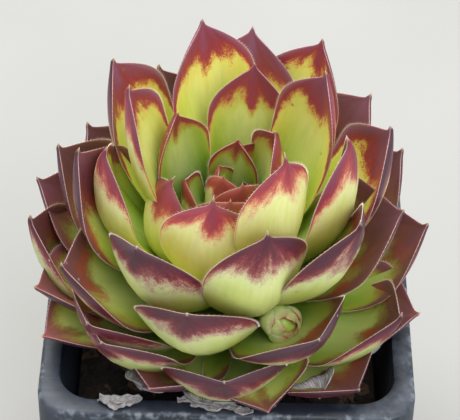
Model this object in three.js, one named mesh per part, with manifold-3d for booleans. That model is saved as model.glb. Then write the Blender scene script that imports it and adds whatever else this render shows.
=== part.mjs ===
// Hens and chicks: a Sempervivum rosette with one chick, in its square nursery pot.
// Millimetres, +Z up. The origin is the centre of the pot's underside, and the pot's front faces -Y.
import * as THREE from "three";
import { mergeVertices } from "three/addons/utils/BufferGeometryUtils.js";
import Module from "manifold-3d";

const wasm = await Module();
wasm.setup();

// ---- Driving dimensions ----

// The pot, moulded in one piece
const POT_HEIGHT = 62;
const POT_WIDTH = 70; // over the lip
const LIP_WIDTH = 3.9; // flat top of the lip
const LIP_ROUND = 0.7; // edge of the lip
const BAND_DROP = 9; // turned-down band under the lip
const WALL = 1.1;
const BASE_WIDTH = 50;
const BASE_FLOOR = 1.6;
const OUTER_CORNER = 6.5; // corner radius of the lip's outside
const BASE_CORNER = 7;
const DRAIN_RADIUS = 3.6;
const DRAIN_OFFSET = 13; // from the middle, both ways

// Clear space that touching pieces keep
const CLEARANCE = 0.3;

// The growing mix
const SOIL_DROP = 13; // below the rim
const SOIL_LUMPS = 1.6;

// The mother rosette, whose own frame stands on the rim's middle and leans to the front
const LEAF_COUNT = 62;
const GOLDEN_ANGLE = 137.508;
const FIRST_LEAF_ANGLE = 202.8; // counted from +X
const LEAN_FRONT = 8;
const LEAN_RIGHT = 1.1;
const STEM_RADIUS = 5.2;
const STEM_SINK = 9; // into the growing mix
const CROWN_LOW = -3; // where the oldest leaf leaves the stem
const CROWN_HIGH = 11; // where the youngest does
const LEAF_THICKNESS = 4;
const MARGIN_THICKNESS = 0.8;
const WIDEST = 0.66; // share of a leaf's length where it is widest
const SHOULDERS = 2.4; // how full a leaf stays towards its tip
const BLUNT = { 39: 5, 44: 5 }; // leaves with fuller shoulders
const MUCRO_START = 0.95; // share of a leaf's length where its fine point begins
const MUCRO_RADIUS = 0.6;

// How a leaf changes with its number: [number, value], the youngest first
const TIP_RADIUS = [
  [0, 1.5], [5, 4], [8, 8], [13, 14], [16, 19.5],
  [20, 23.5], [26, 29], [34, 34], [42, 37.5], [61, 39],
];
const TIP_HEIGHT = [
  [0, 24], [2, 27], [3, 34], [9, 36], [13, 43],
  [16, 49.5], [20, 51.5], [26, 44], [40, 22], [61, 12],
];
const HALF_WIDTH = [
  [0, 3], [5, 4.4], [10, 6.4], [14, 7.8], [20, 9.4],
  [26, 10.4], [32, 11.2], [48, 11.4], [61, 9],
];
const SAG = [[0, 0.08], [10, 0.12], [20, 0.2], [26, 0.32], [34, 0.4], [46, 0.35], [52, 0.22], [58, 0.08]];
const KNEE = 0.62; // how far along the leaf it sags most; the sag is a share of its length
const ROLL = 4; // degrees; the whole spiral is wound a little, so one side of each leaf stands higher

// Leaves that stand off the rule, by number:
// [degrees turned, tip further out, tip higher, degrees rolled, more sag]
const STRAYS = {
  4: [0, 0, -6], 5: [0, -1, 1], 6: [-16, -2, 3, -20], 7: [-32, -1, 1], 8: [0, 1, -4], 9: [3, -1, 0],
  10: [0, 0, -1], 11: [22, 0, 3, -22, 0.1], 12: [14, -6, 2], 13: [-8, -2, -5, 7, 0.35], 14: [4, 0, 0],
  15: [-4, 2, 11, 13, 0.1], 16: [12, 0, 3, -4], 17: [-8, -4, 6, 13], 18: [13, -4, -4, 8, 0.15],
  19: [0, 0, 0, 8], 20: [3, -3, 3, 0, 0.1], 21: [-9, -2, -8, 3, 0.2], 22: [-3, 4, -3, -18],
  23: [4, 0, 2, 8, 0.1], 24: [2, 1, -2, 5], 25: [0, 0, 0, 7], 26: [5, 0, -2, -7],
  27: [-3, 0, 1, -10, -0.15], 28: [0, 0, 6, 5, -0.1], 29: [8, -2, 0, -25], 30: [-4, 0, 0, -5, -0.2],
  31: [-5, 2, -1, 3], 32: [-5, 0, -2], 33: [1, -1, 2, 30, -0.25], 34: [5, 2, -2, -22, -0.1],
  36: [0, 2, 0, 5, -0.1], 37: [9, -1, 0], 38: [5, 0, 1], 39: [-7.5, 1.6, -3.4, 3, 0.05],
  41: [1, 0, -2, 0, 0.1], 42: [1, 0, 4, -4, 0.2], 44: [-2, -1.5, -1.1, 5, 0.12], 45: [5, 0, -2],
  46: [4, -1, 2, 4], 47: [7, 0, 2], 49: [2, 1, -8], 50: [0, 0, 2], 51: [0, -3, -3], 52: [-6, -1.5, -5],
  54: [0, 1, -5, 12], 57: [-4, -0.5, -4.4], 59: [0, -2, -3], 60: [-20, 2, -4],
};

// The dried leaves under the living ones, joined in a collar round the stem
const DRY_COUNT = 11;
const DRY_THICKNESS = 0.8;
const DRY_HALF_WIDTH = 5.4;
const DRY_REACH = 34.8;
const FIRST_DRY_ANGLE = 204; // counted from +X
const DRY_PATH = [[6.8, -7.3], [16, -6.4], [24, -4.4], [28.2, -1.8], [30.6, 0.8], [33, 0.95]]; // from the rim
const COLLAR_LOW = -8.2;
const COLLAR_HIGH = -6.5;
const COLLAR_RADIUS = 9;

// The chick, a closed young head on a runner
const CHICK_PLACE = [10.2, -22.5, 11.6]; // its middle, from the rim's middle
const CHICK_TURN = -62; // the way it faces, counted from +X
const CHICK_LEAN = 58; // degrees from upright
const CHICK_LEAVES = 8;
const CHICK_LENGTH = 9;
const CHICK_CORE = 3;
const RUNNER_RADIUS = 0.9;
const RUNNER_END = [4, -10.5, 1.5]; // in the mother's leaf bases

const rad = THREE.MathUtils.degToRad;

// ---- Small helpers ----

// The value at a leaf's number, in straight steps between the entries of a list
function along(list, number) {
  const after = list.findIndex(([n]) => n >= number);
  if (after <= 0) return after === 0 ? list[0][1] : list.at(-1)[1];
  const [n0, v0] = list[after - 1];
  const [n1, v1] = list[after];
  return THREE.MathUtils.mapLinear(number, n0, n1, v0, v1);
}

// A fixed chance value from -1 to 1 for a leaf's number and a trait
function chance(number, trait) {
  const wave = Math.sin(number * 12.9898 + trait * 78.233) * 43758.5453;
  return 2 * (wave - Math.floor(wave)) - 1;
}

// A closed mesh as a solid
function solid(geometry) {
  const bare = geometry.clone();
  bare.deleteAttribute("normal");
  bare.deleteAttribute("uv");
  const merged = mergeVertices(bare, 1e-4);
  return new wasm.Manifold(
    new wasm.Mesh({
      numProp: 3,
      vertProperties: merged.attributes.position.array,
      triVerts: new Uint32Array(merged.index.array),
    }),
  );
}

// The outside of a solid's largest body, so that sealed hollows are filled and scraps dropped
function outerBody(body) {
  const bodies = body.decompose();
  return bodies.reduce((a, b) => (a.volume() > b.volume() ? a : b)).simplify(0.01);
}

function geometryOf(body) {
  const mesh = body.getMesh();
  const geometry = new THREE.BufferGeometry();
  geometry.setAttribute("position", new THREE.BufferAttribute(mesh.vertProperties, 3));
  geometry.setIndex(new THREE.BufferAttribute(mesh.triVerts, 1));
  geometry.computeVertexNormals();
  return geometry;
}

// A closed skin over rings of points, capped at the first and the last one, or drawn out to a tip at the
// last. Each ring turns left round the way from the first ring to the last.
function loft(rings, tip) {
  const count = rings[0].length;
  const points = rings.flat();
  const faces = [];
  for (let ring = 0; ring < rings.length - 1; ring++) {
    for (let i = 0; i < count; i++) {
      const a = ring * count + i;
      const b = ring * count + ((i + 1) % count);
      faces.push(a, b, b + count, a, b + count, a + count);
    }
  }
  for (const [ring, turn] of [[0, -1], [rings.length - 1, 1]]) {
    const middle = points.length;
    const flat = rings[ring].reduce((sum, p) => sum.add(p), new THREE.Vector3()).divideScalar(count);
    points.push(tip && turn > 0 ? tip : flat);
    for (let i = 0; i < count; i++) {
      const a = ring * count + i;
      const b = ring * count + ((i + 1) % count);
      faces.push(middle, ...(turn > 0 ? [a, b] : [b, a]));
    }
  }
  const geometry = new THREE.BufferGeometry().setFromPoints(points);
  geometry.setIndex(faces);
  return geometry;
}

// A square ring with rounded corners at one height; a corner radius of half the width makes it a circle
function squareRing(halfWidth, corner, height) {
  const stepsPerCorner = 6;
  const points = [];
  for (let i = 0; i < 4 * stepsPerCorner; i++) {
    const quarter = Math.floor(i / stepsPerCorner);
    const angle = ((i + 0.5) * Math.PI) / (2 * stepsPerCorner);
    const middle = (quarter + 0.5) * (Math.PI / 2);
    const x = Math.sign(Math.cos(middle)) * (halfWidth - corner) + corner * Math.cos(angle);
    const y = Math.sign(Math.sin(middle)) * (halfWidth - corner) + corner * Math.sin(angle);
    points.push(new THREE.Vector3(x, y, height));
  }
  return points;
}

// ---- Pot ----

const rimHalf = POT_WIDTH / 2;
const mouthHalf = rimHalf - LIP_WIDTH;
const baseHalf = BASE_WIDTH / 2;
const mouthCorner = OUTER_CORNER + 0.5;

// Half the width inside the pot at a height
function insideHalf(height) {
  return THREE.MathUtils.mapLinear(height, 0, POT_HEIGHT, baseHalf - WALL, mouthHalf);
}

function makePot() {
  const underLip = POT_HEIGHT - WALL;
  const bandInside = rimHalf - WALL;
  const rings = [
    squareRing(baseHalf, BASE_CORNER, 0),
    squareRing(insideHalf(underLip) + WALL, mouthCorner + WALL, underLip),
    squareRing(bandInside, OUTER_CORNER - WALL, underLip),
    squareRing(bandInside, OUTER_CORNER - WALL, POT_HEIGHT - BAND_DROP),
    squareRing(rimHalf, OUTER_CORNER, POT_HEIGHT - BAND_DROP),
    squareRing(rimHalf, OUTER_CORNER, POT_HEIGHT - LIP_ROUND),
    squareRing(rimHalf - 0.3 * LIP_ROUND, OUTER_CORNER, POT_HEIGHT - 0.3 * LIP_ROUND),
    squareRing(rimHalf - LIP_ROUND, OUTER_CORNER, POT_HEIGHT),
    squareRing(mouthHalf + LIP_ROUND, mouthCorner, POT_HEIGHT),
    squareRing(mouthHalf, mouthCorner, POT_HEIGHT - LIP_ROUND),
    squareRing(insideHalf(BASE_FLOOR), BASE_CORNER - WALL, BASE_FLOOR),
  ];
  let body = solid(loft(rings));
  for (const [x, y] of [[1, 1], [-1, 1], [-1, -1], [1, -1]]) {
    const drain = new THREE.CylinderGeometry(DRAIN_RADIUS, DRAIN_RADIUS, 4 * BASE_FLOOR, 16);
    drain.rotateX(Math.PI / 2);
    drain.translate(x * DRAIN_OFFSET, y * DRAIN_OFFSET, BASE_FLOOR);
    body = body.subtract(solid(drain));
  }
  return geometryOf(body);
}

// ---- Growing mix, with a plain hole for the stem ----

const soilTop = POT_HEIGHT - SOIL_DROP;
const stemFoot = soilTop - STEM_SINK;

function makeSoil() {
  const low = BASE_FLOOR + CLEARANCE;
  const holeRadius = STEM_RADIUS + CLEARANCE;
  const fit = (height) => insideHalf(height) - CLEARANCE;
  const corner = (height) => THREE.MathUtils.lerp(BASE_CORNER - WALL, mouthCorner, height / POT_HEIGHT);
  const rings = [
    squareRing(fit(low), corner(low), low),
    squareRing(fit(soilTop - 2), corner(soilTop - 2), soilTop - 2),
    squareRing(fit(soilTop) - 0.6, corner(soilTop), soilTop - 0.6),
  ];
  [25, 20, 14.5, 10].forEach((half, step) => {
    const ring = squareRing(half, THREE.MathUtils.mapLinear(step, 0, 3, 8, 9), soilTop);
    rings.push(ring.map((p, i) => p.setZ(soilTop + SOIL_LUMPS * 0.5 * chance(i, step + 40))));
  });
  rings.push(squareRing(holeRadius, holeRadius, soilTop - 0.5));
  rings.push(squareRing(holeRadius, holeRadius, stemFoot - CLEARANCE));
  return loft(rings);
}

// ---- Leaves ----

// Half the width of a blade, as a share of its widest place, and its thickness in the same way
function bladeWidth(u, fullness) {
  if (u < WIDEST) return 0.45 + 0.55 * Math.sin(((u / WIDEST) * Math.PI) / 2) ** 1.4;
  return 1 - ((u - WIDEST) / (MUCRO_START - WIDEST + 0.005)) ** fullness;
}

function bladeThickness(u) {
  const swell = 0.2 * Math.sin(Math.PI * Math.min(u / 0.7, 1));
  return 0.8 + swell - 0.62 * THREE.MathUtils.smoothstep(u, 0.45, 1);
}

function stray(number) {
  const [turned, out, lift, rolled = 0, moreSag = 0] = STRAYS[number] ?? [0, 0, 0];
  return { turned, out, lift, rolled, moreSag };
}

// A leaf's midrib: a curve from the stem to the tip, in the upright plane through the rosette's axis
function midrib(number) {
  const share = number / (LEAF_COUNT - 1);
  const base = new THREE.Vector2(
    THREE.MathUtils.lerp(0.6, 3.2, share),
    THREE.MathUtils.lerp(CROWN_HIGH, CROWN_LOW, share ** 0.8),
  );
  const { out, lift, moreSag } = stray(number);
  const tip = new THREE.Vector2(
    along(TIP_RADIUS, number) + 0.9 * chance(number, 1) + out,
    along(TIP_HEIGHT, number) + 1.1 * chance(number, 2) + lift,
  );
  const chord = tip.clone().sub(base);
  const outward = new THREE.Vector2(chord.y, -chord.x).normalize();
  const knee = base.clone().addScaledVector(chord, KNEE);
  knee.addScaledVector(outward, chord.length() * (along(SAG, number) + moreSag));
  return new THREE.QuadraticBezierCurve(base, knee, tip);
}

// One blade: hollowed along its upper face, keeled below, drawn out to a fine point. It grows from the axis
// of its head, at an angle round it. Grow makes it thicker all over, for cutting clear space.
function leafBlade({ angle, roll, midline, halfWidth, thickness, cup = 1, grow = 0, fullness = SHOULDERS }) {
  const away = new THREE.Vector3(Math.cos(angle), Math.sin(angle), 0);
  const aside = new THREE.Vector3(-Math.sin(angle), Math.cos(angle), 0);
  const up = new THREE.Vector3(0, 0, 1);
  const edge = Math.min(MARGIN_THICKNESS, thickness) / 2 + grow;
  const point = Math.min(MUCRO_RADIUS, thickness / 2);

  function ring(u, half, deep) {
    const place = midline.getPoint(u);
    const way = midline.getTangent(u);
    const forward = away.clone().multiplyScalar(way.x).addScaledVector(up, way.y);
    const inner = away.clone().multiplyScalar(-way.y).addScaledVector(up, way.x);
    const middle = away.clone().multiplyScalar(place.x).addScaledVector(up, place.y);
    const side = aside.clone().applyAxisAngle(forward, roll);
    const face = inner.clone().applyAxisAngle(forward, roll);
    const rise = cup * half * (0.22 + 0.28 * u); // the edges turn up
    const section = [
      [half, rise - edge],
      [half, rise + edge],
      [0, deep * 0.3],
      [-half, rise + edge],
      [-half, rise - edge],
      [-half * 0.55, rise * 0.3 - deep * 0.5],
      [0, -deep * 0.7],
      [half * 0.55, rise * 0.3 - deep * 0.5],
    ];
    return section.map(([x, y]) => middle.clone().addScaledVector(side, x).addScaledVector(face, y));
  }

  const rings = [0, 0.4, 0.66, 0.8, 0.9].map((u) =>
    ring(u, halfWidth * bladeWidth(u, fullness) + grow, thickness * bladeThickness(u) + 2 * grow),
  );
  // The root of the point is a small round ring
  const flat = ring(MUCRO_START, point + grow, 0);
  const side = flat[0].clone().sub(flat[3]).normalize();
  const face = flat[1].clone().sub(flat[0]).normalize();
  const middle = flat[0].clone().add(flat[1]).add(flat[3]).add(flat[4]).divideScalar(4);
  rings.push(
    flat.map((_, i) => {
      const turn = ((i - 0.5) * Math.PI) / 4;
      const out = side.clone().multiplyScalar(Math.cos(turn)).addScaledVector(face, Math.sin(turn));
      return middle.clone().addScaledVector(out, point + grow);
    }),
  );
  const reach = midline.getLength() * (1 - MUCRO_START);
  return loft(rings, middle.clone().addScaledVector(side.cross(face), reach + grow));
}

// ---- Mother rosette ----

const leanTurn = new THREE.Matrix4()
  .makeTranslation(0, 0, POT_HEIGHT)
  .multiply(new THREE.Matrix4().makeRotationY(rad(LEAN_RIGHT)))
  .multiply(new THREE.Matrix4().makeRotationX(rad(LEAN_FRONT)));

function livingLeaf(number, grow) {
  const blade = leafBlade({
    angle: rad(FIRST_LEAF_ANGLE - GOLDEN_ANGLE * number + 3 * chance(number, 3) + stray(number).turned),
    roll: rad(ROLL + 6 * chance(number, 4) + stray(number).rolled),
    midline: midrib(number),
    halfWidth: along(HALF_WIDTH, number),
    thickness: LEAF_THICKNESS,
    grow,
    fullness: BLUNT[number],
  });
  return solid(blade.applyMatrix4(leanTurn));
}

function livingLeaves(first, grow) {
  const leaves = [];
  for (let number = first; number < LEAF_COUNT; number++) leaves.push(livingLeaf(number, grow));
  return wasm.Manifold.union(leaves);
}

function motherStem() {
  return solid(
    loft([
      squareRing(STEM_RADIUS, STEM_RADIUS, stemFoot),
      squareRing(STEM_RADIUS, STEM_RADIUS, POT_HEIGHT + CROWN_LOW),
      squareRing(2, 2, POT_HEIGHT + CROWN_HIGH),
    ]),
  );
}

function makeRosette() {
  return outerBody(livingLeaves(0, 0).add(motherStem()).subtract(chickBody(CLEARANCE + 0.2)));
}

// ---- Dried leaves ----

function driedLeaf(number) {
  const reach = DRY_REACH + 1.6 * chance(number, 5);
  const path = [...DRY_PATH, [reach, 1.15 + 0.15 * chance(number, 6)]];
  const blade = leafBlade({
    angle: rad(FIRST_DRY_ANGLE + (number * 360) / DRY_COUNT + 6 * chance(number, 8)),
    roll: 0,
    midline: new THREE.SplineCurve(path.map(([radius, height]) => new THREE.Vector2(radius, height))),
    halfWidth: DRY_HALF_WIDTH * (1 + 0.12 * chance(number, 7)),
    thickness: DRY_THICKNESS,
    cup: 0.05,
  });
  return solid(blade.translate(0, 0, POT_HEIGHT));
}

function makeDriedLeaves() {
  const hole = STEM_RADIUS + CLEARANCE + 0.1;
  const collarProfile = [
    [hole, COLLAR_LOW],
    [COLLAR_RADIUS, COLLAR_LOW],
    [COLLAR_RADIUS, COLLAR_HIGH],
    [hole, COLLAR_HIGH],
    [hole, COLLAR_LOW],
  ].map(([radius, height]) => new THREE.Vector2(radius, height));
  const collar = new THREE.LatheGeometry(collarProfile, 24).rotateX(Math.PI / 2);
  const pieces = [solid(collar.translate(0, 0, POT_HEIGHT))];
  for (let number = 0; number < DRY_COUNT; number++) pieces.push(driedLeaf(number));
  const touching = livingLeaves(28, CLEARANCE + 0.1);
  return outerBody(wasm.Manifold.union(pieces).subtract(touching));
}

// ---- Chick ----

// The chick's head and runner; grow makes both thicker all over
function chickBody(grow) {
  const place = new THREE.Vector3(...CHICK_PLACE);
  const facing = new THREE.Matrix4()
    .makeTranslation(place)
    .multiply(new THREE.Matrix4().makeRotationZ(rad(CHICK_TURN)))
    .multiply(new THREE.Matrix4().makeRotationY(rad(CHICK_LEAN)))
    .multiply(new THREE.Matrix4().makeTranslation(0, 0, -CHICK_LENGTH / 2));
  const core = new THREE.SphereGeometry(CHICK_CORE + grow, 8, 6);
  core.scale(1, 1, 1.15).translate(0, 0, CHICK_CORE * 1.1);
  const bodies = [solid(core.applyMatrix4(facing))];
  for (let number = 0; number < CHICK_LEAVES; number++) {
    const base = new THREE.Vector2(0.6, 0);
    const knee = new THREE.Vector2(CHICK_CORE + 1.1 + 0.13 * number, 3.4);
    const tip = new THREE.Vector2(0.5 + 0.3 * number, CHICK_LENGTH - 0.35 * number);
    const blade = leafBlade({
      angle: rad(GOLDEN_ANGLE * number),
      roll: 0,
      midline: new THREE.QuadraticBezierCurve(base, knee, tip),
      halfWidth: 2.5,
      thickness: 1.5,
      grow,
    });
    bodies.push(solid(blade.applyMatrix4(facing)));
  }
  const runnerEnd = new THREE.Vector3(...RUNNER_END);
  runnerEnd.addScaledVector(runnerEnd.clone().sub(place).normalize(), grow);
  const runnerWay = new THREE.LineCurve3(place, runnerEnd);
  const section = new THREE.Shape().absarc(0, 0, RUNNER_RADIUS + grow, 0, 2 * Math.PI);
  const runner = new THREE.ExtrudeGeometry(section, { steps: 1, curveSegments: 4, extrudePath: runnerWay });
  bodies.push(solid(runner));
  return wasm.Manifold.union(bodies).translate(0, 0, POT_HEIGHT);
}

// ---- Assembly ----

function piece(name, geometry, colour, roughness) {
  const material = new THREE.MeshStandardMaterial({ color: colour, roughness, metalness: 0 });
  const mesh = new THREE.Mesh(geometry, material);
  mesh.name = name;
  return mesh;
}

const plant = new THREE.Group();
plant.add(piece("pot", makePot(), 0x23262b, 0.42));
plant.add(piece("soil", makeSoil(), 0x1d1713, 0.95));
plant.add(piece("mother_rosette", geometryOf(makeRosette()), 0x9bb43c, 0.45));
plant.add(piece("dried_leaf_skirt", geometryOf(makeDriedLeaves()), 0x8a7263, 0.9));
plant.add(piece("chick_offset", geometryOf(outerBody(chickBody(0))), 0xb9cc7a, 0.5));

export default plant;
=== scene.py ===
# %% [markdown]
# # Hens and chicks in a square nursery pot
#
# A houseleek is one living rosette: a short stem with about sixty fleshy leaves, each turned by the golden
# angle from the one before. This script dresses the plain solids with finer leaves, hairs, papery dead
# leaves and real finishes. All lengths are given in millimetres and turned into metres where the mesh is
# made.

# %% Load the frame
import math
from functools import partial

import bpy
import numpy as np
from mathutils import Matrix, Vector


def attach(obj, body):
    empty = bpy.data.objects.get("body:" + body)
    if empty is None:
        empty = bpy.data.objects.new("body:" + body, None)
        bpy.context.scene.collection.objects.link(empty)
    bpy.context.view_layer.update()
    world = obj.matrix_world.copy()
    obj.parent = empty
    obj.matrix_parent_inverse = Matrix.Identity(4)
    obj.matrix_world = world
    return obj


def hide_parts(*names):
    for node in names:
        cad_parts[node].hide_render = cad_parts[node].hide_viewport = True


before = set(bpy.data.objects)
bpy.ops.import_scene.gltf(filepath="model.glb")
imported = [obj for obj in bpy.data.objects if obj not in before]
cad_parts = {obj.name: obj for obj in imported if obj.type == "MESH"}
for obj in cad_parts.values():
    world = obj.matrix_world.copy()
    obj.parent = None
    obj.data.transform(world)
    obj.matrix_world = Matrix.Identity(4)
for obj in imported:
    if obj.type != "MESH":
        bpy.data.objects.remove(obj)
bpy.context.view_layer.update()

# %% [markdown]
# ## The numbers that the solids are built from
#
# The pot, the leaf spiral and the leaf profiles repeat the driving dimensions of the solid part, so that
# every fine leaf grows exactly where its plain leaf is. Leaf 0 is the youngest, in the heart.

# %% Driving dimensions, in millimetres
MM = 0.001
POT_HEIGHT = 62.0
POT_WIDTH = 70.0
LIP_WIDTH = 3.9
LIP_ROUND = 0.7
BAND_DROP = 9.0
WALL = 1.1
BASE_WIDTH = 50.0
BASE_FLOOR = 1.6
OUTER_CORNER = 6.5
BASE_CORNER = 7.0
DRAIN_RADIUS = 3.6
DRAIN_OFFSET = 13.0
SOIL_DROP = 13.0

LEAF_COUNT = 62
GOLDEN_ANGLE = 137.508
FIRST_LEAF_ANGLE = 202.8
LEAN_FRONT = 8.0
LEAN_RIGHT = 1.1
STEM_RADIUS = 5.2
STEM_SINK = 9.0
CROWN_LOW = -3.0
CROWN_HIGH = 11.0
LEAF_THICKNESS = 4.0
RIM_THICKNESS = 0.35  # of the margin's thin skin
WIDEST = 0.66  # share of a leaf's length where it is widest
SHOULDERS = 2.4  # how full a leaf stays towards its tip
BLUNT = {39: 5, 44: 5}  # leaves with fuller shoulders than that
MUCRO_START = 0.95  # share of a leaf's length where its fine point begins
KNEE = 0.62  # how far along a leaf it sags most; the sag is a share of its length

TIP_RADIUS = [
    (0, 1.5), (5, 4), (8, 8), (13, 14), (16, 19.5), (20, 23.5), (26, 29), (34, 34), (42, 37.5), (61, 39),
]
TIP_HEIGHT = [
    (0, 24), (2, 27), (3, 34), (9, 36), (13, 43), (16, 49.5), (20, 51.5), (26, 44), (40, 22), (61, 12),
]
HALF_WIDTH = [(0, 3), (5, 4.4), (10, 6.4), (14, 7.8), (20, 9.4), (26, 10.4), (32, 11.2), (48, 11.4), (61, 9)]
SAG = [(0, 0.08), (10, 0.12), (20, 0.2), (26, 0.32), (34, 0.4), (46, 0.35), (52, 0.22), (58, 0.08)]
ROLL = 4.0  # the whole spiral is wound a little: one side of each leaf stands higher
FOOT_RADIUS = (0.6, 3.2)  # from the stem's middle to the foot of the youngest and of the oldest leaf

# How far chance moves a leaf: its tip out and up, degrees turned and rolled, and the share of half its
# width that its middle sways to a side
LOOSE_OUT, LOOSE_UP, LOOSE_TURN, LOOSE_ROLL, LOOSE_SWAY = 0.9, 1.1, 3, 6, 0.05

# Leaves that stand off the rule: degrees turned, tip further out, tip higher, degrees rolled, more sag
STRAYS = {
    4: (0, 0, -6), 5: (0, -1, 1), 6: (-16, -2, 3, -20), 7: (-32, -1, 1), 8: (0, 1, -4), 9: (3, -1, 0),
    10: (0, 0, -1), 11: (22, 0, 3, -22, 0.1), 12: (14, -6, 2), 13: (-8, -2, -5, 7, 0.35), 14: (4, 0, 0),
    15: (-4, 2, 11, 13, 0.1), 16: (12, 0, 3, -4), 17: (-8, -4, 6, 13), 18: (13, -4, -4, 8, 0.15),
    19: (0, 0, 0, 8), 20: (3, -3, 3, 0, 0.1), 21: (-9, -2, -8, 3, 0.2), 22: (-3, 4, -3, -18),
    23: (4, 0, 2, 8, 0.1), 24: (2, 1, -2, 5), 25: (0, 0, 0, 7), 26: (5, 0, -2, -7),
    27: (-3, 0, 1, -10, -0.15), 28: (0, 0, 6, 5, -0.1), 29: (8, -2, 0, -25), 30: (-4, 0, 0, -5, -0.2),
    31: (-5, 2, -1, 3), 32: (-5, 0, -2), 33: (1, -1, 2, 30, -0.25), 34: (5, 2, -2, -22, -0.1),
    36: (0, 2, 0, 5, -0.1), 37: (9, -1, 0), 38: (5, 0, 1), 39: (-7.5, 1.6, -3.4, 3, 0.05),
    41: (1, 0, -2, 0, 0.1), 42: (1, 0, 4, -4, 0.2), 44: (-2, -1.5, -1.1, 5, 0.12), 45: (5, 0, -2),
    46: (4, -1, 2, 4), 47: (7, 0, 2), 49: (2, 1, -8), 50: (0, 0, 2), 51: (0, -3, -3), 52: (-6, -1.5, -5),
    54: (0, 1, -5, 12), 57: (-4, -0.5, -4.4), 59: (0, -2, -3), 60: (-20, 2, -4),
}

DRY_COUNT = 11
DRY_HALF_WIDTH = 5.4
DRY_REACH = 34.8
DRY_SKIN = 0.5  # thinner than in the solid
FIRST_DRY_ANGLE = 204.0
DRY_PATH = [(6.8, -7.3), (16, -6.4), (24, -4.4), (28.2, -1.8), (30.6, 0.8), (33, 0.95)]
COLLAR_LOW = -8.2
COLLAR_HIGH = -6.5
COLLAR_RADIUS = 9.0
COLLAR_GAP = 0.4  # to the stem

CHICK_PLACE = (10.2, -22.5, 11.6)
CHICK_TURN = -62.0
CHICK_LEAN = 58.0
CHICK_LEAVES = 8
CHICK_LENGTH = 9.0
CHICK_HALF_WIDTH = 2.5
CHICK_THICKNESS = 1.5
CHICK_CORE = 3.0
RUNNER_RADIUS = 0.9
RUNNER_END = (4.0, -10.5, 1.5)


def along_list(pairs, number):
    """The value at a leaf's number, in straight steps between the entries."""
    return float(np.interp(number, [n for n, _ in pairs], [v for _, v in pairs]))


def chance(number, trait):
    """A fixed draw from -1 to 1 for a leaf's number and a trait, the same on every run."""
    wave = math.sin(number * 12.9898 + trait * 78.233) * 43758.5453
    return 2 * (wave - math.floor(wave)) - 1


print("leaves:", LEAF_COUNT, "turned by", GOLDEN_ANGLE, "degrees each")

# %% [markdown]
# ## Helpers for modelling
#
# Operators act on all that is selected, so each piece starts with a clear selection. A finished piece keeps
# its place in its own mesh, with its object at the origin, rides on the pot's body and stands for its
# solid.


# %% Modelling helpers
def start_piece(name, operator, **settings):
    """Adds a primitive with nothing else selected and names it."""
    bpy.ops.object.select_all(action="DESELECT")
    operator(**settings)
    piece = bpy.context.active_object
    piece.name = name
    piece.data.name = name
    return piece


def select_where(piece, kind, test):
    """Opens a piece for editing with the vertices, edges or polygons selected whose middle passes a test."""
    bpy.context.view_layer.objects.active = piece
    bpy.ops.object.mode_set(mode="EDIT")
    bpy.ops.mesh.select_mode(type={"vertices": "VERT", "edges": "EDGE", "polygons": "FACE"}[kind])
    bpy.ops.mesh.select_all(action="DESELECT")
    bpy.ops.object.mode_set(mode="OBJECT")
    spots = piece.data.vertices
    for part in getattr(piece.data, kind):
        corners = [part.index] if kind == "vertices" else part.vertices
        part.select = test(part, sum((spots[i].co for i in corners), Vector()) / len(corners))
    bpy.ops.object.mode_set(mode="EDIT")


def join(pieces, name):
    """Joins pieces into the first one."""
    bpy.ops.object.select_all(action="DESELECT")
    for piece in pieces:
        piece.select_set(True)
    bpy.context.view_layer.objects.active = pieces[0]
    bpy.ops.object.join()
    pieces[0].name = name
    pieces[0].data.name = name
    return pieces[0]


def set_place(piece, points):
    """Puts a piece's vertices at points given in millimetres."""
    piece.data.vertices.foreach_set("co", (np.asarray(points) * MM).astype(np.float32).ravel())
    piece.data.update()


def places(piece):
    """A piece's vertices as rows of numbers, in its own units."""
    points = np.zeros(3 * len(piece.data.vertices), np.float32)
    piece.data.vertices.foreach_get("co", points)
    return points.reshape(-1, 3).astype(float)


def put_in_scene(name, data):
    """A new object in the scene with a mesh, a lamp or a camera in it."""
    made = bpy.data.objects.new(name, data)
    bpy.context.scene.collection.objects.link(made)
    return made


def take_shape(piece):
    """The points and faces of a small piece that is copied many times. The piece itself is removed."""
    points, faces = places(piece), [tuple(face.vertices) for face in piece.data.polygons]
    bpy.data.objects.remove(piece)
    return points, faces


def piece_of_copies(name, points, faces):
    """One piece from many copies of a small shape: the points of each copy in millimetres, and its faces."""
    count = points.shape[1]
    mesh = bpy.data.meshes.new(name)
    all_faces = [tuple(i + count * k for i in face) for k in range(len(points)) for face in faces]
    mesh.from_pydata((points.reshape(-1, 3) * MM).tolist(), [], all_faces)
    return put_in_scene(name, mesh)


def note(piece, name, values):
    """Writes one number for each vertex, for a material to read by name."""
    layer = piece.data.attributes.get(name) or piece.data.attributes.new(name, "FLOAT", "POINT")
    layer.data.foreach_set("value", np.broadcast_to(values, len(piece.data.vertices)).astype(np.float32))


def finish_piece(piece, material, node, angle=40):
    """Smooths a piece, dresses it and ties it to the solid that it stands for."""
    bpy.ops.object.select_all(action="DESELECT")
    piece.select_set(True)
    bpy.context.view_layer.objects.active = piece
    bpy.ops.object.shade_smooth_by_angle(angle=math.radians(angle))
    piece.data.materials.clear()
    piece.data.materials.append(material)
    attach(piece, "root")
    if node:
        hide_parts(node)
    triangles = sum(len(p.vertices) - 2 for p in piece.data.polygons)
    print(piece.name, "has", triangles, "triangles")


# %% [markdown]
# ## Helpers for finishes
#
# Colours are picked as sRGB hex values and turned to the linear values that a shader wants. One function
# adds a node, whatever its kind, and hands back one of its outputs to feed the next.


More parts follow.
